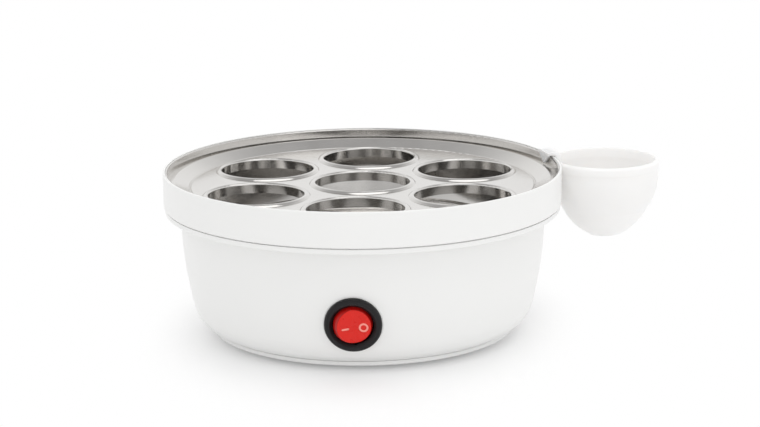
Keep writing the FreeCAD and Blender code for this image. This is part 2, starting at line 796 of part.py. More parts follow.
def make_heater():
    """The heat plate under the bowl, the tubular element, the thermostat and the thermal fuse."""
    plate_foot = place(z=size("plate_under"))
    plate = cylinder("plate_disc", "plate_radius", "plate_thick", plate_foot)
    bracket_spots = [place(x=side * size("bracket_screw_offset")) for side in (-1, 1)]
    clip_screw_spot = place(y=-size("clip_screw_offset"))
    spots = bracket_spots + [clip_screw_spot]
    bites = [cylinder("plate_bite", "plate_screw_hole", "plate_screw_bite", plate_foot.multiply(spot))
             for spot in spots]
    keep(cut("plate_cut", plate, bites), "heat_plate")

    element = add("Part::Torus", "element_tube", Radius1="element_radius", Radius2="tube_radius",
                  Angle3="element_sweep")
    gap_end = INLET_AZIMUTH + size("element_gap_angle") / 2
    element.Placement = place(z=size("element_height"), rotation=turn_z(gap_end))
    keep(element, "heating_element")
    keep(group("element_pins", [
        cylinder("pin", "pin_radius", "pin_length", pin_place(side)) for side in (-1, 1)
    ]), "element_terminals")

    keep(turned("thermostat_body", [
        (None, "thermostat_under"),
        ("thermostat_radius", "thermostat_under"),
        ("thermostat_radius", "cap_under"),
        ("thermostat_cap_radius", "cap_under"),
        ("thermostat_cap_radius", "plate_under"),
        (None, "plate_under"),
    ]), "thermostat")
    keep(group("thermostat_tabs", [
        box("thermostat_tab", "tab_thick", "tab_width", "tab_length",
            place(x=side * size("thermostat_tab_spread"), z=size("thermostat_tab_under")))
        for side in (-1, 1)
    ]), "thermostat_terminals")
    strap = box("bracket_strap", "bracket_length", "bracket_width", "bracket_thick",
                place(z=size("bracket_under")))
    strap_foot = place(z=size("bracket_under"))
    openings = [cylinder("bracket_eye", "bracket_hole", "bracket_thick", strap_foot)]
    openings += [cylinder("bracket_screw_hole", "plate_screw_hole", "bracket_thick",
                          strap_foot.multiply(spot)) for spot in bracket_spots]
    keep(cut("bracket_cut", strap, openings), "thermostat_bracket")

    along_x = FreeCAD.Rotation(vec(0, 1, 0), 90)
    fuse_axis = place(0, -size("fuse_offset"), size("fuse_height"), along_x)
    keep(cylinder("fuse_body", "fuse_radius", "fuse_length",
                  fuse_axis.multiply(place(z=-size("fuse_length") / 2))), "thermal_fuse")
    clip_start = fuse_axis.multiply(place(z=-size("clip_width") / 2))
    loop = cylinder("clip_loop", "clip_outside", "clip_width", clip_start)
    foot = box("clip_foot_plate", "clip_width", "clip_foot", "clip_thick",
               place(y=-size("clip_root") - size("clip_foot") / 2, z=size("clip_foot_under")))
    clip_cuts = [
        cylinder("clip_bore", "clip_inside", "clip_width", clip_start),
        box("clip_top", "clip_foot", "clip_foot", "clip_foot",
            place(y=-size("fuse_offset"), z=size("plate_under"))),
        cylinder("clip_hole", "plate_screw_hole", "clip_thick",
                 clip_screw_spot.multiply(place(z=size("clip_foot_under")))),
    ]
    keep(cut("clip_cut", fuse("clip_whole", [loop, foot]), clip_cuts), "fuse_clip")
    screws = [plate_screw(spot, "bracket_under") for spot in bracket_spots]
    screws.append(plate_screw(clip_screw_spot, "clip_foot_under"))
    keep(group("plate_screw_set", screws), "plate_screws")


def pin_place(side):
    """The end of the element's tube on one side of its gap, looking along the cold pin."""
    azimuth = math.radians(INLET_AZIMUTH - side * size("element_gap_angle") / 2)
    along = vec(-side * math.sin(azimuth), side * math.cos(azimuth), 0)
    spot = polar(size("element_radius"), math.degrees(azimuth), size("element_height")).Base
    return FreeCAD.Placement(spot, FreeCAD.Rotation(vec(0, 0, 1), along))


def plate_screw(spot, seat):
    """A small pan-head screw driven up into the heat plate through the strap at a named height."""
    under = spot.multiply(place(z=size(seat)))
    shank = add("Part::Cylinder", "plate_screw_shank", Radius="plate_screw_radius",
                Height="dims.plate_under + dims.plate_screw_bite - dims." + seat)
    shank.Placement = under
    head = cylinder("plate_screw_pan", "plate_screw_head", "plate_screw_head_height",
                    under.multiply(place(z=-size("plate_screw_head_height"))))
    return fuse("plate_screw", [shank, head])


def make_bowl_fixings():
    """Two studs under the bowl, each drawn down on its lug by a washer and nut; one holds the earth tab."""
    studs, washers, nuts = [], [], []
    for azimuth in STUD_AZIMUTHS:
        axis = polar(size("stud_offset"), azimuth)
        stud_foot = axis.multiply(place(z=size("stud_end")))
        studs.append(cylinder("stud", "stud_radius", "stud_length", stud_foot))
        washers.append(eyelet("washer", "washer_thick", axis.multiply(place(z=size("washer_under")))))
        nut_top = "earth_under" if azimuth == EARTH_AZIMUTH else "washer_under"
        nut_foot = axis.multiply(place(z=size(nut_top) - size("nut_height")))
        hexagon = add("Part::Prism", "nut_blank", Circumradius="dims.nut_flats / 2 / cos(30deg)",
                      Height="nut_height")
        hexagon.Polygon = 6
        hexagon.Placement = nut_foot
        bore = cylinder("nut_bore", "nut_bore_radius", "nut_height", nut_foot)
        nuts.append(cut("nut", hexagon, [bore]))
    keep(group("stud_pair", studs), "bowl_studs")
    keep(group("washer_pair", washers), "stud_washers")
    keep(group("nut_pair", nuts), "stud_nuts")
    earth_axis = polar(size("stud_offset"), EARTH_AZIMUTH, size("earth_under"))
    inwards = earth_axis.multiply(place(rotation=turn_z(180)))
    eye = cylinder("earth_eye", "washer_radius", "tab_thick", earth_axis)
    blade = bar("earth_blade", "dims.washer_radius + dims.earth_tab_length", "tab_width", "tab_thick",
                inwards)
    hole = cylinder("earth_hole", "stud_hole", "tab_thick", earth_axis)
    keep(cut("earth_cut", fuse("earth_whole", [eye, blade]), [hole]), "earth_tab")


def eyelet(label, thick, where):
    disc = cylinder(label + "_disc", "washer_radius", thick, where)
    return cut(label, disc, [cylinder(label + "_hole", "stud_hole", thick, where)])


def make_bottom_cover():
    """The bottom cover with its screw wells and block pegs, the foot ring in its groove and the screws."""
    dish = turned("cover_dish", [
        (None, "foot_proud"),
        ("groove_inside", "foot_proud"),
        ("groove_inside", "foot_top"),
        ("groove_outside", "foot_top"),
        ("groove_outside", "foot_proud"),
        ("cover_flat", "foot_proud", "corner_round", 1),
        ("cover_edge", "cover_rim_under"),
        ("cover_edge", "cover_top"),
        ("rib_outside", "cover_top"),
        ("rib_outside", "rib_top"),
        ("rib_inside", "rib_top"),
        ("rib_inside", "cover_top"),
        (None, "cover_top"),
    ])
    forms, holes, screws = [dish], [], []
    for azimuth in SCREW_AZIMUTHS:
        axis = polar(size("screw_ring_radius"), azimuth)
        head_top = axis.multiply(place(z=size("screw_head_top")))
        forms.append(cylinder("well", "well_radius", "well_rise", axis.multiply(place(z=size("cover_top")))))
        holes.append(cylinder("well_pocket", "screw_pocket", "screw_head_top", axis))
        holes.append(cylinder("screw_way_hole", "screw_way", "well_top", axis))
        head = cylinder("screw_pan", "screw_head", "screw_head_height",
                        head_top.multiply(place(z=-size("screw_head_height"))))
        shank = cylinder("screw_shank", "screw_radius", "screw_length", head_top)
        screws.append(fuse("cover_screw", [head, shank]))
    for side in (-1, 1):
        peg_foot = place(side * size("pole_spacing") / 2, size("block_offset"), size("cover_top"))
        forms.append(cylinder("peg", "peg_radius", "peg_height", peg_foot))
    keep(cut("cover_cut", fuse("cover_whole", forms), holes), "bottom_cover")
    keep(group("cover_screw_set", screws), "cover_screws")
    keep(turned("foot_body", [
        ("foot_inside", None),
        ("foot_outside", None),
        ("foot_outside", "foot_top"),
        ("foot_inside", "foot_top"),
    ]), "foot_ring")


def make_terminal_block():
    """The terminal block on the cover's two pegs, with a clamp screw over each of its three poles."""
    block = box("block_body", "block_length", "block_width", "block_height",
                place(y=size("block_offset"), z=size("cover_top")))
    along_y = FreeCAD.Rotation(vec(1, 0, 0), -90)
    holes, clamps = [], []
    for pole in POLES:
        x = pole * size("pole_spacing")
        front = place(x, size("block_offset") - size("block_width") / 2, size("pole_height"), along_y)
        holes.append(cylinder("pole", "pole_radius", "block_width", front))
        clamp_foot = place(x, size("block_offset"), size("clamp_foot"))
        holes.append(cylinder("clamp_hole", "clamp_hole_radius", "block_height", clamp_foot))
        clamps.append(cylinder("clamp_screw", "clamp_radius", "clamp_length", clamp_foot))
    for side in (-1, 1):
        peg_foot = place(side * size("pole_spacing") / 2, size("block_offset"), size("cover_top"))
        holes.append(cylinder("peg_hole", "peg_hole_radius", "block_height", peg_foot))
    keep(cut("block_cut", block, holes), "terminal_block")
    keep(group("clamp_screw_set", clamps), "clamp_screws")


def make_cord_inlet(port):
    """The rubber grommet that lines the cord's hole in the rear wall."""
    grommet = turned("grommet_body", [
        ("inlet_bore", None),
        ("grommet_radius", None),
        ("grommet_radius", "grommet_back_face"),
        ("grommet_neck", "grommet_back_face"),
        ("grommet_neck", "grommet_seat"),
        ("grommet_radius", "grommet_seat"),
        ("grommet_radius", "grommet_front_edge"),
        ("grommet_front_crest", "grommet_front"),
        ("inlet_bore", "grommet_front"),
    ])
    grommet.Placement = port.multiply(place(z=-size("grommet_seat")))
    keep(grommet, "cord_grommet")


def make_switch(port):
    """The round rocker switch; the rocker rests with its off side pressed."""
    back = port.multiply(place(z=-size("barrel_depth")))
    across = FreeCAD.Rotation(vec(1, 0, 0), 90)
    hull = turned("switch_hull", [
        (None, None),
        ("barrel_radius", None),
        ("barrel_radius", "barrel_depth"),
        ("bezel_radius", "barrel_depth"),
        ("bezel_radius", "bezel_shoulder", "bezel_round", 1),
        ("bezel_flat", "bezel_top"),
        ("bezel_mouth", "bezel_top"),
        ("opening_radius", "mouth_height"),
        ("opening_radius", "cavity_floor"),
        (None, "cavity_floor"),
    ])
    hull.Placement = back
    wing_foot = back.multiply(place(z=size("wing_foot")))
    wings = [bar("wing", "dims.barrel_radius + dims.wing_reach", "wing_width", "wing_length",
                 wing_foot.multiply(place(rotation=turn_z(angle)))) for angle in (90, 270)]
    clear = cylinder("wing_clear", "wing_root", "wing_length", wing_foot)
    clips = cut("switch_wings", fuse("wing_pair", wings), [clear])
    pivot = port.multiply(place(z=size("pivot_lift")))
    pivot_hole = cylinder("pivot_hole", "trunnion_hole", "trunnion_hole_length",
                          pivot.multiply(place(y=size("trunnion_hole_length") / 2, rotation=across)))
    slots, tabs = [], []
    for offset, top in ((0.0, "cradle_top"), (size("contact_offset"), "contact_top")):
        foot = back.multiply(place(x=offset, z=-size("tab_length")))
        length = "dims.tab_length + dims." + top
        slots.append(box("tab_slot", "tab_thick", "tab_width", length, foot))
        tabs.append(box("switch_tab", "tab_thick", "tab_width", length, foot))
    keep(cut("housing_cut", fuse("housing_whole", [hull, clips]), [pivot_hole] + slots), "switch_housing")
    keep(group("switch_tab_pair", tabs), "switch_terminals")

    tilt = FreeCAD.Rotation(vec(0, 1, 0), size("rocker_angle"))
    rest = pivot.multiply(place(rotation=tilt))
    ball = add("Part::Sphere", "rocker_sphere", Radius="rocker_ball")
    ball.Placement = rest
    facet_rise = FreeCAD.Rotation(vec(0, 1, 0), -size("rocker_angle"))
    trims = [bar("rocker_facet", "2 * dims.rocker_ball", "2 * dims.rocker_ball", "2 * dims.rocker_ball",
                 rest.multiply(place(z=size("rocker_rise"), rotation=turn_z(side).multiply(facet_rise))))
             for side in (0, 180)]
    trims.append(box("rocker_under", "2 * dims.rocker_ball", "2 * dims.rocker_ball", "rocker_ball",
                     rest.multiply(place(z=-size("rocker_skirt") - size("rocker_ball")))))
    pins = cylinder("trunnions", "trunnion_radius", "2 * dims.trunnion_span",
                    rest.multiply(place(y=size("trunnion_span"), rotation=across)))
    keep(fuse("rocker_whole", [cut("rocker_form", ball, trims), pins]), "switch_rocker")
    keep(cylinder("plunger_body", "plunger_radius", "plunger_length",
                  rest.multiply(place(z=-size("plunger_reach")))), "switch_plunger")

    blade_tilt = FreeCAD.Rotation(vec(0, 1, 0), -size("blade_angle"))
    blade_axis = port.multiply(place(z=-size("blade_drop"), rotation=blade_tilt))
    strip = box("blade_strip", "blade_length", "blade_width", "blade_thick",
                blade_axis.multiply(place(z=-size("blade_thick") / 2)))
    bead = cylinder("blade_pivot", "blade_bead", "blade_width",
                    blade_axis.multiply(place(y=size("blade_width") / 2, rotation=across)))
    keep(fuse("blade_whole", [strip, bead]), "contact_blade")


def make_wire(label, points):
    """A wire along straight runs, with each corner rounded as far as its two runs allow."""
    edges, radii = [], []
    start = points[0]
    for before, corner, after in zip(points, points[1:], points[2:]):
        into, out = corner - before, after - corner
        turn = into.getAngle(out)
        trim = WIRE_TRIM * min(into.Length, out.Length)
        radii.append(trim / math.tan(turn / 2))
        into.normalize()
        out.normalize()
        first, last = corner - into * trim, corner + out * trim
        bisector = (out - into).normalize()
        middle = corner + bisector * (radii[-1] / math.cos(turn / 2) - radii[-1])
        edges += [Part.LineSegment(start, first).toShape(), Part.Arc(first, middle, last).toShape()]
        start = last
    edges.append(Part.LineSegment(start, points[-1]).toShape())
    path = Part.Wire(edges)
    section = Part.Wire(Part.makeCircle(size("wire_radius"), points[0], points[1] - points[0]))
    wire = doc.addObject("Part::Feature", label)
    wire.Shape = path.makePipeShell([section], True, False)
    wire.Placement = place()
    full = math.pi * size("wire_radius") ** 2 * path.Length
    print(label, "volume share", round(wire.Shape.Volume / full, 4), "least bend", round(min(radii), 1))
    keep(wire, label)


def make_wires(switch_port):
    """The wiring: terminal block, switch, thermostat, fuse and element in series, and the earth lead."""
    tab_end = -size("barrel_depth") - size("tab_length")
    standoff = size("wire_standoff")
    drop_y = -size("element_radius") - size("tube_radius") - standoff
    low = size("pole_height")
    middle = low + size("wire_layer")
    high = size("block_top") + standoff / 2
    plate_side = size("wire_side")
    fuse_end = size("fuse_length") / 2
    fuse_y, fuse_z = -size("fuse_offset"), size("fuse_height")
    tab_x, tab_z = size("thermostat_tab_spread"), size("thermostat_tab_under")
    pole_x, block_y = size("pole_spacing"), size("block_offset")

    def switch_lead(offset):
        end = switch_port.multVec(vec(offset, 0, tab_end))
        inward = switch_port.Rotation.multVec(vec(0, 0, -1))
        return [end, end + inward * ((drop_y - end.y) / inward.y)]

    def pin_lead(side):
        pin = pin_place(side).multiply(place(z=size("pin_length")))
        return [pin.Base, pin.multVec(vec(0, 0, standoff))]

    first = switch_lead(0.0)
    second = switch_lead(size("contact_offset"))
    right_pin, left_pin = pin_lead(1), pin_lead(-1)
    make_wire("live_wire", [
        vec(-pole_x, block_y, low), vec(-pole_x, block_y / 3, low), vec(0, drop_y / 2, low),
        vec(0, drop_y, low), first[1], first[0]])
    make_wire("switched_wire", second + [
        vec(second[0].x, drop_y, middle), vec(tab_x, 0, middle), vec(tab_x, 0, tab_z)])
    make_wire("fuse_wire", [
        vec(-tab_x, 0, tab_z), vec(-tab_x, 0, middle), vec(-plate_side, fuse_y, middle),
        vec(-plate_side, fuse_y, fuse_z), vec(-fuse_end, fuse_y, fuse_z)])
    make_wire("element_wire", [
        vec(fuse_end, fuse_y, fuse_z), vec(plate_side, fuse_y, fuse_z), vec(plate_side, fuse_y, high),
        vec(plate_side, block_y / 2, high), vec(right_pin[1].x, right_pin[1].y, high)] + right_pin[::-1])
    rear_y = block_y + size("block_width") / 2 + 2 * standoff
    make_wire("neutral_wire", left_pin + [
        vec(0, rear_y, high + standoff), vec(0, rear_y, low), vec(0, block_y, low)])
    earth_x = size("stud_offset") - size("washer_radius") - size("earth_tab_length") / 2
    make_wire("earth_wire", [
        vec(pole_x, block_y, low), vec(pole_x, block_y / 3, low), vec(earth_x / 2, 0, low),
        vec(earth_x, 0, low), vec(earth_x, 0, size("earth_under"))])


def check_document():
    """Stop if any object failed or any piece has no sound solid."""
    doc.recompute()
    failed = [o.Label for o in doc.Objects if {"Invalid", "Error"} & set(o.State)]
    unsound = [p.Label for p in PIECES if p.Shape.isNull() or not p.Shape.isValid() or not p.Shape.Solids]
    if failed or unsound:
        raise RuntimeError("failed objects %s, unsound pieces %s" % (failed, unsound))


def write_pieces():
    os.makedirs("parts", exist_ok=True)
    for piece in PIECES:
        piece.Shape.exportStep("parts/%s.step" % piece.Label)


fill_sheet()
switch_roll = place(rotation=turn_z(size("switch_roll")))
switch_seat = wall_port(SWITCH_AZIMUTH, size("switch_height")).multiply(switch_roll)
inlet_seat = wall_port(INLET_AZIMUTH, size("inlet_height"))
make_casing(switch_seat, inlet_seat)
make_rim_and_bowl()
make_egg_tray()
make_measuring_cup()
make_heater()
make_bowl_fixings()
make_bottom_cover()
make_terminal_block()
make_cord_inlet(inlet_seat)
make_switch(switch_seat)
make_wires(switch_seat)
check_document()
write_pieces()
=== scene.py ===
import json
import math
from collections import namedtuple

import bpy
from mathutils import Matrix, Vector


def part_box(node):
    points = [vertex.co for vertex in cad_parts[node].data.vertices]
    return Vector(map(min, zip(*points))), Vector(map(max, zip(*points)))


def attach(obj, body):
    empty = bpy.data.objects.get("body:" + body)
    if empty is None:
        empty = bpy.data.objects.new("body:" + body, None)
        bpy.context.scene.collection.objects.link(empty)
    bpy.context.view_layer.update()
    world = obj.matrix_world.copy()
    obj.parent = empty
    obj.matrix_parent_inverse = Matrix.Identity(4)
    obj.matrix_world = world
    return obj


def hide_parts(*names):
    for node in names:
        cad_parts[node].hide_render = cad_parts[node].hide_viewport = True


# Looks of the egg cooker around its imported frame. Metres, +Z up, the switch faces -Y.

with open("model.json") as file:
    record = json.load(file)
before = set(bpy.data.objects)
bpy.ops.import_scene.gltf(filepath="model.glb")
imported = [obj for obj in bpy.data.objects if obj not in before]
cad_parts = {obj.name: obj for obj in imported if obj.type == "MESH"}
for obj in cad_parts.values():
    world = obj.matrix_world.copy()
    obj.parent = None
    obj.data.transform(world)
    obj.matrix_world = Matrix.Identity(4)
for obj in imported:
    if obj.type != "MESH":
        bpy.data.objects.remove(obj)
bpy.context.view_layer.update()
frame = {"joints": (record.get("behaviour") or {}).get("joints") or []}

MM = 0.001
JOINTS = {joint["name"]: joint for joint in frame["joints"]}

# Camera of the photograph: place and angles before the turn about Z, and its focal length in pixels.
IMAGE_WIDTH = 760
FOCAL_PIXELS = 2400
SENSOR_WIDTH = 36.0
CAMERA_PLACE = Vector((0.0, -0.9786, 0.2820))
CAMERA_PAN = math.radians(0.420)
CAMERA_PITCH = math.radians(13.377)
CAMERA_ROLL = math.radians(-0.568)
CAMERA_TURN = math.radians(3.4)

# Studio: light levels at which a colour renders about as it is written, the floor, and how the floor's
# painted white glow fades it into the background: between which distances from its middle, from which
# least share of painted light that lightens the shadow near the object, and how much further along Y.
SKY_LEVEL = 0.89
CEILING_LEVEL = 0.45
CEILING_START = 0.35
CEILING_FULL = 0.90
FLOOR_COLOUR = (0.93, 0.93, 0.93, 1.0)
FLOOR_ROUGHNESS = 0.9
FLOOR_SHINE = 0.1
FLOOR_HALF = 3.0
FLOOR_DROP = 0.05 * MM
FADE_START = 0.055
FADE_END = 0.095
PAINTED_LIGHT_LEAST = 0.25
FADE_STRETCH = 1.65
LAMPS = (
    # name, place, aimed at, size across, power in watts
    ("lamp_above", (0.20, -0.20, 1.30), (0.0, 0.0, 0.05), 1.2, 4.0),
    ("lamp_front", (0.95, -1.15, 0.50), (0.0, 0.0, 0.04), 1.0, 0.9),
)


def make_camera():
    """The photograph's viewpoint, with the frame's width as the sensor's width."""
    pan, pitch, roll = CAMERA_PAN, CAMERA_PITCH, CAMERA_ROLL
    ahead = Vector((math.sin(pan) * math.cos(pitch), math.cos(pan) * math.cos(pitch), -math.sin(pitch)))
    level = Vector((math.cos(pan), -math.sin(pan), 0.0))
    upright = level.cross(ahead)
    right = level * math.cos(roll) + upright * math.sin(roll)
    up = upright * math.cos(roll) - level * math.sin(roll)
    axes = Matrix((right, up, -ahead)).transposed().to_4x4()
    data = bpy.data.cameras.new("camera")
    data.sensor_width = SENSOR_WIDTH
    data.lens = SENSOR_WIDTH * FOCAL_PIXELS / IMAGE_WIDTH
    camera = bpy.data.objects.new("camera", data)
    bpy.context.scene.collection.objects.link(camera)
    camera.matrix_world = Matrix.Rotation(CAMERA_TURN, 4, "Z") @ Matrix.Translation(CAMERA_PLACE) @ axes
    bpy.context.scene.camera = camera


def seen_rays(tree):
    """1 for the rays that show the background: the camera's, and those off metal and through plastic."""
    path = tree.nodes.new("ShaderNodeLightPath")
    seen = path.outputs["Is Camera Ray"]
    for kind in ("Is Glossy Ray", "Is Transmission Ray"):
        either = tree.nodes.new("ShaderNodeMath")
        either.operation = "MAXIMUM"
        tree.links.new(seen, either.inputs[0])
        tree.links.new(path.outputs[kind], either.inputs[1])
        seen = either.outputs[0]
    return seen


def spread(tree, value, limits, results, smooth=False):
    """Map a value from one pair of limits to another, held at both ends."""
    node = tree.nodes.new("ShaderNodeMapRange")
    node.interpolation_type = "SMOOTHSTEP" if smooth else "LINEAR"
    tree.links.new(value, node.inputs["Value"])
    for name, number in zip(("From Min", "From Max", "To Min", "To Max"), (*limits, *results)):
        node.inputs[name].default_value = number
    return node.outputs["Result"]


def make_world():
    """Even sky light, and for what is seen a white background that dims towards the ceiling."""
    world = bpy.data.worlds.new("studio")
    bpy.context.scene.world = world
    world.use_nodes = True
    tree = world.node_tree
    tree.nodes.clear()
    light = tree.nodes.new("ShaderNodeBackground")
    light.inputs["Color"].default_value = (1.0, 1.0, 1.0, 1.0)
    light.inputs["Strength"].default_value = SKY_LEVEL
    backdrop = tree.nodes.new("ShaderNodeBackground")
    backdrop.inputs["Color"].default_value = (1.0, 1.0, 1.0, 1.0)
    direction = tree.nodes.new("ShaderNodeTexCoord")
    parts = tree.nodes.new("ShaderNodeSeparateXYZ")
    tree.links.new(direction.outputs["Generated"], parts.inputs["Vector"])
    heights = (CEILING_START, CEILING_FULL)
    level = spread(tree, parts.outputs["Z"], heights, (1.0, CEILING_LEVEL), smooth=True)
    tree.links.new(level, backdrop.inputs["Strength"])
    mix = tree.nodes.new("ShaderNodeMixShader")
    output = tree.nodes.new("ShaderNodeOutputWorld")
    tree.links.new(seen_rays(tree), mix.inputs["Fac"])
    tree.links.new(light.outputs[0], mix.inputs[1])
    tree.links.new(backdrop.outputs[0], mix.inputs[2])
    tree.links.new(mix.outputs[0], output.inputs["Surface"])


def make_lamps():
    for name, place, target, across, power in LAMPS:
        data = bpy.data.lights.new(name, "AREA")
        data.shape = "DISK"
        data.size = across
        data.energy = power
        lamp = bpy.data.objects.new(name, data)
        bpy.context.scene.collection.objects.link(lamp)
        lamp.location = place
        lamp.rotation_euler = (Vector(target) - Vector(place)).to_track_quat("-Z", "Y").to_euler()


def make_floor():
    """A pale floor that keeps the shadow, lightened by painted white glow, and fades to white further
    out.
    """
    mesh = bpy.data.meshes.new("floor")
    half = FLOOR_HALF
    corners = [(-half, -half, 0.0), (half, -half, 0.0), (half, half, 0.0), (-half, half, 0.0)]
    mesh.from_pydata(corners, [], [(0, 1, 2, 3)])
    floor = bpy.data.objects.new("floor", mesh)
    floor.location.z = -FLOOR_DROP
    # Stretching along Y draws the painted glow's edge further out in front, so more of the shadow is
    # kept there.
    floor.scale.y = FADE_STRETCH
    bpy.context.scene.collection.objects.link(floor)
    stuff = bpy.data.materials.new("floor")
    mesh.materials.append(stuff)
    stuff.use_nodes = True
    tree = stuff.node_tree
    shader = tree.nodes["Principled BSDF"]
    shader.inputs["Base Color"].default_value = FLOOR_COLOUR
    shader.inputs["Roughness"].default_value = FLOOR_ROUGHNESS
    shader.inputs["Specular IOR Level"].default_value = FLOOR_SHINE
    place = tree.nodes.new("ShaderNodeTexCoord")
    distance = tree.nodes.new("ShaderNodeVectorMath")
    distance.operation = "LENGTH"
    tree.links.new(place.outputs["Object"], distance.inputs[0])
    # Painted light: a white glow for seen rays, from the least share next to the object, which lightens
    # its shadow, up to full white further out.
    far = spread(tree, distance.outputs["Value"], (FADE_START, FADE_END), (PAINTED_LIGHT_LEAST, 1.0), smooth=True)
    share = tree.nodes.new("ShaderNodeMath")
    share.operation = "MULTIPLY"
    tree.links.new(far, share.inputs[0])
    tree.links.new(seen_rays(tree), share.inputs[1])
    white = tree.nodes.new("ShaderNodeEmission")
    white.inputs["Strength"].default_value = 1.0
    mix = tree.nodes.new("ShaderNodeMixShader")
    tree.links.new(share.outputs[0], mix.inputs["Fac"])
    tree.links.new(shader.outputs[0], mix.inputs[1])
    tree.links.new(white.outputs[0], mix.inputs[2])
    tree.links.new(mix.outputs[0], tree.nodes["Material Output"].inputs["Surface"])


# Looks by material slot. Tone and gloss are how far colour and roughness wander, in patches of the
# size patch. Grain and height are the fine grain's size and height. Patch, grain and height are in mm,
# and settings are the shader's own.
Look = namedtuple("Look", "colour roughness tone gloss patch grain height settings")
LOOKS = {
    "white_plastic": Look((0.87, 0.87, 0.86), 0.30, 0.006, 0.02, 45.0, 0.8, 0.001, {}),
    "milky_plastic": Look((0.92, 0.905, 0.89), 0.34, 0.010, 0.04, 20.0, 0.7, 0.001,
                          {"Subsurface Weight": 0.8, "Subsurface Scale": 5.0 * MM,
                           "Subsurface Radius": (1.0, 0.95, 0.9)}),
    "black_plastic": Look((0.011, 0.010, 0.011), 0.36, 0.10, 0.06, 3.0, 0.25, 0.003,
                          {"Specular IOR Level": 0.25}),
    "red_plastic": Look((0.70, 0.014, 0.007), 0.28, 0.04, 0.04, 4.0, 0.5, 0.001,
                        {"Specular IOR Level": 0.3}),
    "polished_steel": Look((0.68, 0.665, 0.645), 0.17, 0.03, 0.05, 14.0, 9.0, 0.012, {"Metallic": 1.0}),
    "plain_steel": Look((0.50, 0.50, 0.51), 0.34, 0.05, 0.08, 4.0, 0.6, 0.004, {"Metallic": 1.0}),
    "cast_aluminium": Look((0.58, 0.58, 0.59), 0.50, 0.06, 0.08, 9.0, 0.8, 0.03, {"Metallic": 1.0}),
    "contact_brass": Look((0.70, 0.50, 0.21), 0.30, 0.06, 0.08, 4.0, 0.5, 0.004, {"Metallic": 1.0}),
    "seal_silicone": Look((0.52, 0.52, 0.51), 0.55, 0.03, 0.06, 10.0, 0.6, 0.006, {}),
    "foot_rubber": Look((0.74, 0.74, 0.73), 0.72, 0.03, 0.06, 6.0, 0.4, 0.010, {}),
    "insulator": Look((0.35, 0.30, 0.25), 0.48, 0.04, 0.06, 6.0, 0.5, 0.006, {}),
    "brown_wire": Look((0.19, 0.075, 0.032), 0.42, 0.06, 0.05, 8.0, 0.5, 0.003, {}),
    "white_wire": Look((0.74, 0.73, 0.70), 0.50, 0.03, 0.05, 8.0, 0.4, 0.008, {}),
    "blue_wire": Look((0.030, 0.11, 0.42), 0.42, 0.06, 0.05, 8.0, 0.5, 0.003, {}),
    "green_wire": Look((0.16, 0.36, 0.045), 0.42, 0.06, 0.05, 8.0, 0.5, 0.003, {}),
}
# Painted shade: a darker copy of the red plastic for the rocker's flank, standing in for the bezel's
# shade on it.
PAINTED_SHADE_FLANK_LOOK = Look((0.42, 0.006, 0.004), 0.28, 0.04, 0.04, 4.0, 0.5, 0.001, {"Specular IOR Level": 0.3})
MARK_LOOK = Look((0.95, 0.33, 0.27), 0.40, 0.03, 0.04, 2.0, 0.3, 0.001, {})
NOISE_LIMITS = (0.3, 0.7)


def noise(tree, cell):
    """A noise value over the surface, with the size of its cells in millimetres."""
    place = tree.nodes.new("ShaderNodeTexCoord")
    cells = tree.nodes.new("ShaderNodeTexNoise")
    cells.inputs["Scale"].default_value = 1.0 / (cell * MM)
    tree.links.new(place.outputs["Object"], cells.inputs["Vector"])
    return cells.outputs["Fac"]


def dress(stuff, look):
    """Give a material its look: wandering tone and roughness, and a fine grain."""
    stuff.use_nodes = True
    tree = stuff.node_tree
    tree.nodes.clear()
    shader = tree.nodes.new("ShaderNodeBsdfPrincipled")
    output = tree.nodes.new("ShaderNodeOutputMaterial")
    tree.links.new(shader.outputs[0], output.inputs["Surface"])
    for name, value in look.settings.items():
        shader.inputs[name].default_value = value
    patches = noise(tree, look.patch)
    ramp = tree.nodes.new("ShaderNodeValToRGB")
    shares = (1.0 - look.tone, 1.0 + look.tone)
    for stop, place, share in zip(ramp.color_ramp.elements, NOISE_LIMITS, shares):
        stop.position = place
        stop.color = (*(part * share for part in look.colour), 1.0)
    tree.links.new(patches, ramp.inputs["Fac"])
    tree.links.new(ramp.outputs["Color"], shader.inputs["Base Color"])
    limits = (look.roughness - look.gloss, look.roughness + look.gloss)
    rough = spread(tree, patches, NOISE_LIMITS, limits)
    tree.links.new(rough, shader.inputs["Roughness"])
    bump = tree.nodes.new("ShaderNodeBump")
    bump.inputs["Distance"].default_value = look.height * MM
    tree.links.new(noise(tree, look.grain), bump.inputs["Height"])
    tree.links.new(bump.outputs["Normal"], shader.inputs["Normal"])


# Rocker: its face over the pivot, its rounded edge, its skirt below, the draft of its flank and the
# steps of its mesh.
ROCKER_RISE = 2.0 * MM
ROCKER_EDGE = 0.7 * MM
ROCKER_SKIRT = 2.5 * MM
ROCKER_DRAFT = 0.55 * MM
ROCKER_SIDES = 96
FACE_STEPS = 6
EDGE_STEPS = 5
FLANK_STEPS = 8
FLANK_START = FACE_STEPS + EDGE_STEPS - 2
ROCKER_ANGLE = math.radians(JOINTS["rocker_press"]["range_deg"][1] / 2)

# Marks on the rocker: a bar on the left facet and a ring on the right one, in the facet's own X and Y.
BAR_PLACE = (-3.5 * MM, -0.4 * MM)
BAR_TURN = math.radians(-5.0)
BAR_LENGTH = 3.1 * MM
BAR_WIDTH = 0.8 * MM
RING_PLACE = (3.8 * MM, -0.85 * MM)
RING_RADIUS = 1.9 * MM
RING_WIDTH = 0.75 * MM
MARK_RISE = 0.06 * MM
MARK_SINK = 0.20 * MM
MARK_STEPS = 32


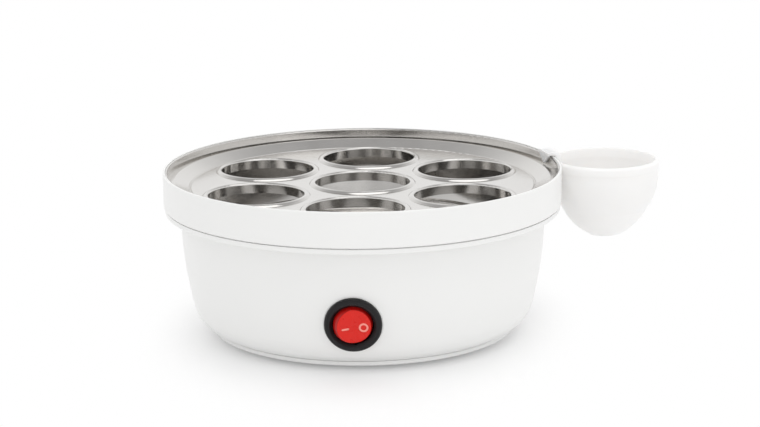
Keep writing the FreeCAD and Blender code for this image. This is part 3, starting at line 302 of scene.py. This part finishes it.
def rocker_rest():
    """The rocker's own frame at rest: X right, Y up and Z out of the switch, tilted to its off side."""
    press, contact = JOINTS["rocker_press"], JOINTS["contact_tilt"]
    pivot = Vector(press["pos_m"])
    out = (pivot - Vector(contact["pos_m"])).normalized()
    up = -Vector(press["axis"]).normalized()
    axes = Matrix((up.cross(out), up, out)).transposed().to_4x4()
    return Matrix.Translation(pivot) @ axes @ Matrix.Rotation(ROCKER_ANGLE, 4, "Y")


def add_piece(name, points, faces, where, *stuffs):
    """A smooth mesh of the rocker, placed in the row frame."""
    mesh = bpy.data.meshes.new(name)
    mesh.from_pydata([where @ Vector(point) for point in points], [], faces)
    mesh.shade_smooth()
    for stuff in stuffs:
        mesh.materials.append(stuff)
    piece = bpy.data.objects.new(name, mesh)
    bpy.context.scene.collection.objects.link(piece)
    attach(piece, "rocker")
    return piece


def rocker_profile(ball, slope):
    """(across, up) along one side of the rocker: its sloping face, rounded edge and round flank."""
    lean = math.hypot(1.0, slope)
    base = ROCKER_RISE - ROCKER_EDGE * lean
    inner = ball - ROCKER_DRAFT - ROCKER_EDGE
    half = slope * base / lean ** 2
    across = math.sqrt(half ** 2 - (base ** 2 - inner ** 2) / lean ** 2) - half
    up = base + slope * across
    face_edge = across - ROCKER_EDGE * slope / lean
    first, last = math.atan2(1.0, -slope), math.atan2(up, across)
    foot = -math.asin(ROCKER_SKIRT / ball)
    points = []
    for step in range(1, FACE_STEPS):
        reach = face_edge * step / FACE_STEPS
        points.append((reach, ROCKER_RISE + slope * reach))
    for step in range(EDGE_STEPS + 1):
        angle = first + (last - first) * step / EDGE_STEPS
        points.append((across + ROCKER_EDGE * math.cos(angle), up + ROCKER_EDGE * math.sin(angle)))
    for step in range(1, FLANK_STEPS + 1):
        angle = last + (foot - last) * step / FLANK_STEPS
        radius = ball - ROCKER_DRAFT * max(0.0, angle / last)
        points.append((radius * math.cos(angle), radius * math.sin(angle)))
    return points


def make_rocker(face_stuff, painted_shade_stuff):
    """The dished rocker, rounded at the edge, its flank a darker red as painted shade, replacing the
    plain one.
    """
    low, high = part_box("switch_rocker")
    ball = (high.x - low.x) / 2
    points, rings = [(0.0, 0.0, ROCKER_RISE)], []
    for side in range(ROCKER_SIDES):
        azimuth = 2 * math.pi * side / ROCKER_SIDES
        x, y = math.cos(azimuth), math.sin(azimuth)
        profile = rocker_profile(ball, abs(x) * math.tan(ROCKER_ANGLE))
        rings.append(range(len(points), len(points) + len(profile)))
        points += [(across * x, across * y, up) for across, up in profile]
    under = len(points)
    points.append((0.0, 0.0, -ROCKER_SKIRT))
    faces = []
    for ring, after in zip(rings, rings[1:] + rings[:1]):
        faces.append((0, ring[0], after[0]))
        faces += [(ring[k], ring[k + 1], after[k + 1], after[k]) for k in range(len(ring) - 1)]
        faces.append((ring[-1], under, after[-1]))
    rocker = add_piece("rocker_face", points, faces, rocker_rest(), face_stuff, painted_shade_stuff)
    per_side = len(faces) // ROCKER_SIDES
    for index, polygon in enumerate(rocker.data.polygons):
        # The flank's faces take the darker red of painted shade.
        polygon.material_index = int(index % per_side >= FLANK_START)
    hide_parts("switch_rocker")


def facet(side):
    """The frame of one facet of the rocker's face, the left (-1) or the right (1)."""
    return Matrix.Translation((0.0, 0.0, ROCKER_RISE)) @ Matrix.Rotation(-side * ROCKER_ANGLE, 4, "Y")


def circle(radius, centre=(0.0, 0.0)):
    turns = [2 * math.pi * step / MARK_STEPS for step in range(MARK_STEPS)]
    return [(centre[0] + radius * math.cos(turn), centre[1] + radius * math.sin(turn)) for turn in turns]


def raised(outline, hole):
    """Points and faces of a low closed wall between an outline and a hole with as many points."""
    count = len(outline)
    loops = [(outline, -MARK_SINK), (outline, MARK_RISE), (hole, MARK_RISE), (hole, -MARK_SINK)]
    points = [(x, y, up) for loop, up in loops for x, y in loop]
    faces = []
    for ring in range(len(loops)):
        for step in range(count):
            after = (step + 1) % count
            this, following = ring * count, (ring + 1) % len(loops) * count
            faces.append((this + step, this + after, following + after, following + step))
    return points, faces


def slab(outline):
    """Points and faces of a low closed block with a round outline."""
    count = len(outline)
    points = [(x, y, up) for up in (-MARK_SINK, MARK_RISE) for x, y in outline]
    faces = [tuple(range(count, 2 * count)), tuple(reversed(range(count)))]
    for step in range(count):
        after = (step + 1) % count
        faces.append((step, after, count + after, count + step))
    return points, faces


def make_marks(stuff):
    """The generic marks of the rocker: a bar for on and a ring for off."""
    rest = rocker_rest()
    reach = (BAR_LENGTH - BAR_WIDTH) / 2
    bar = [(x + math.copysign(reach, x), y) for x, y in circle(BAR_WIDTH / 2)]
    ring = raised(circle(RING_RADIUS), circle(RING_RADIUS - RING_WIDTH))
    for name, side, place, turn, shape in (
        ("mark_on", -1, BAR_PLACE, BAR_TURN, slab(bar)),
        ("mark_off", 1, RING_PLACE, 0.0, ring),
    ):
        spot = Matrix.Translation((*place, 0.0)) @ Matrix.Rotation(turn, 4, "Z")
        add_piece(name, *shape, rest @ facet(side) @ spot, stuff)


make_camera()
make_world()
make_lamps()
make_floor()
for slot, look in LOOKS.items():
    dress(bpy.data.materials[slot], look)
mark_paint = bpy.data.materials.new("mark_paint")
dress(mark_paint, MARK_LOOK)
# Painted shade for the rocker's flank, a darker copy of the red plastic.
painted_shade_red = bpy.data.materials.new("painted_shade_red")
dress(painted_shade_red, PAINTED_SHADE_FLANK_LOOK)
make_rocker(bpy.data.materials["red_plastic"], painted_shade_red)
make_marks(mark_paint)
bpy.context.scene.view_settings.view_transform = "Standard"
